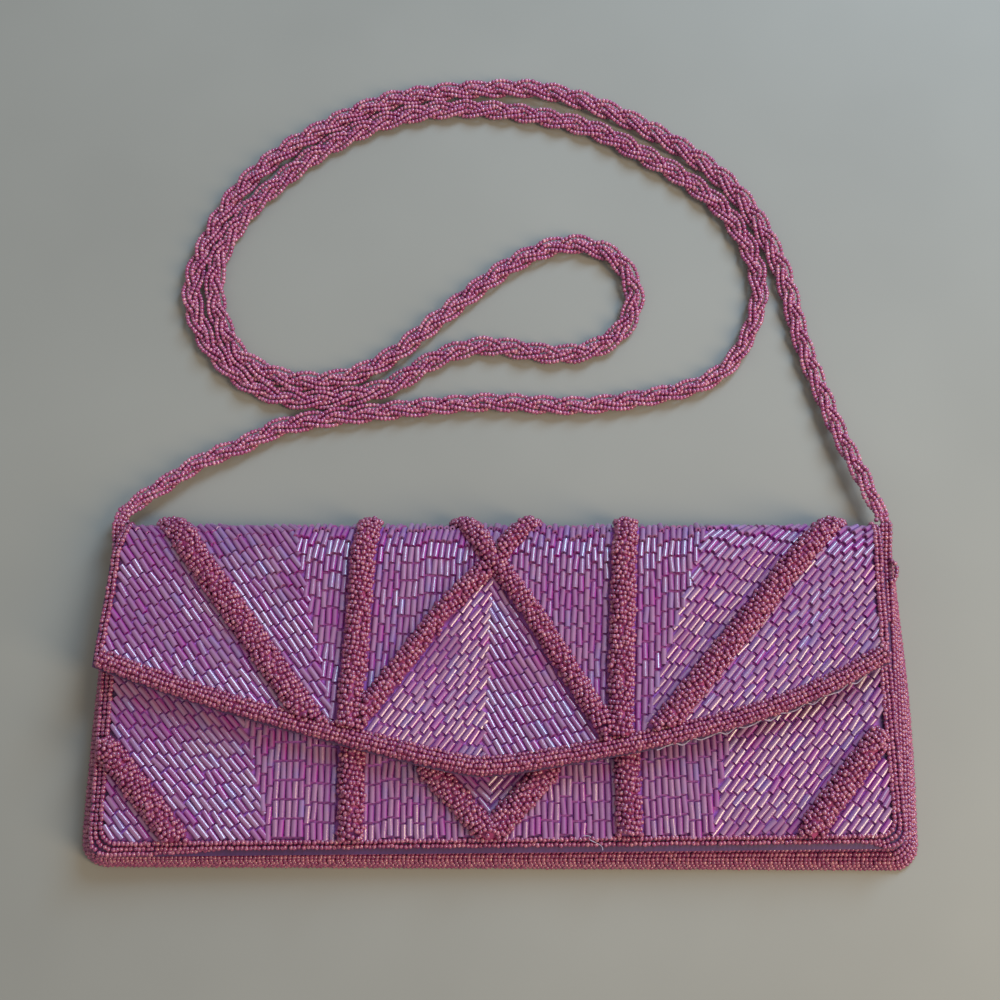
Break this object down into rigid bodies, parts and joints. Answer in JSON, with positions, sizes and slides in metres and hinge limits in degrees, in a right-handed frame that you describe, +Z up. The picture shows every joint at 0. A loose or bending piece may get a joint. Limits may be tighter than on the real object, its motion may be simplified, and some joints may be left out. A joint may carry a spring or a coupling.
{
  "type": "beaded clutch",
  "caption": "Beaded clutch bag lying on its back: a wrap with a pointed fold-over flap, front panel, narrow gusset, padded ridges and a long beaded strap.",
  "frame": {"origin": "middle of the back, on the surface the bag lies on", "axes": "+X along the bag's width, +Y from its bottom edge to the fold and the strap, +Z up through the flap"},
  "size_m": [0.2437, 0.2587, 0.0193],
  "materials": {
    "bugle_beads": "violet lustre bugle beads sewn on satin",
    "seed_beads": "raspberry lustre seed beads sewn close together",
    "strap_beads": "magenta lustre seed beads on strings, braided",
    "snap_metal": "plain pressed metal"
  },
  "bodies": {
    "root": {"wrap": "bugle_beads", "front_panel": "bugle_beads", "gusset": "seed_beads", "flap_border": "seed_beads", "flap_ridge_left_slant": "seed_beads", "flap_ridge_left_upright": "seed_beads", "flap_ridge_right_slant": "seed_beads", "flap_ridge_right_upright": "seed_beads", "flap_ridge_cross_over": "seed_beads", "flap_ridge_cross_under_top": "seed_beads", "flap_ridge_cross_under_leg": "seed_beads", "front_ridge_left_upright": "seed_beads", "front_ridge_left_corner": "seed_beads", "front_ridge_right_upright": "seed_beads", "front_ridge_right_corner": "seed_beads", "front_ridge_chevron": "seed_beads", "strap_left": "strap_beads", "strap_right": "strap_beads", "snap": "snap_metal"}
  },
  "joints": []
}
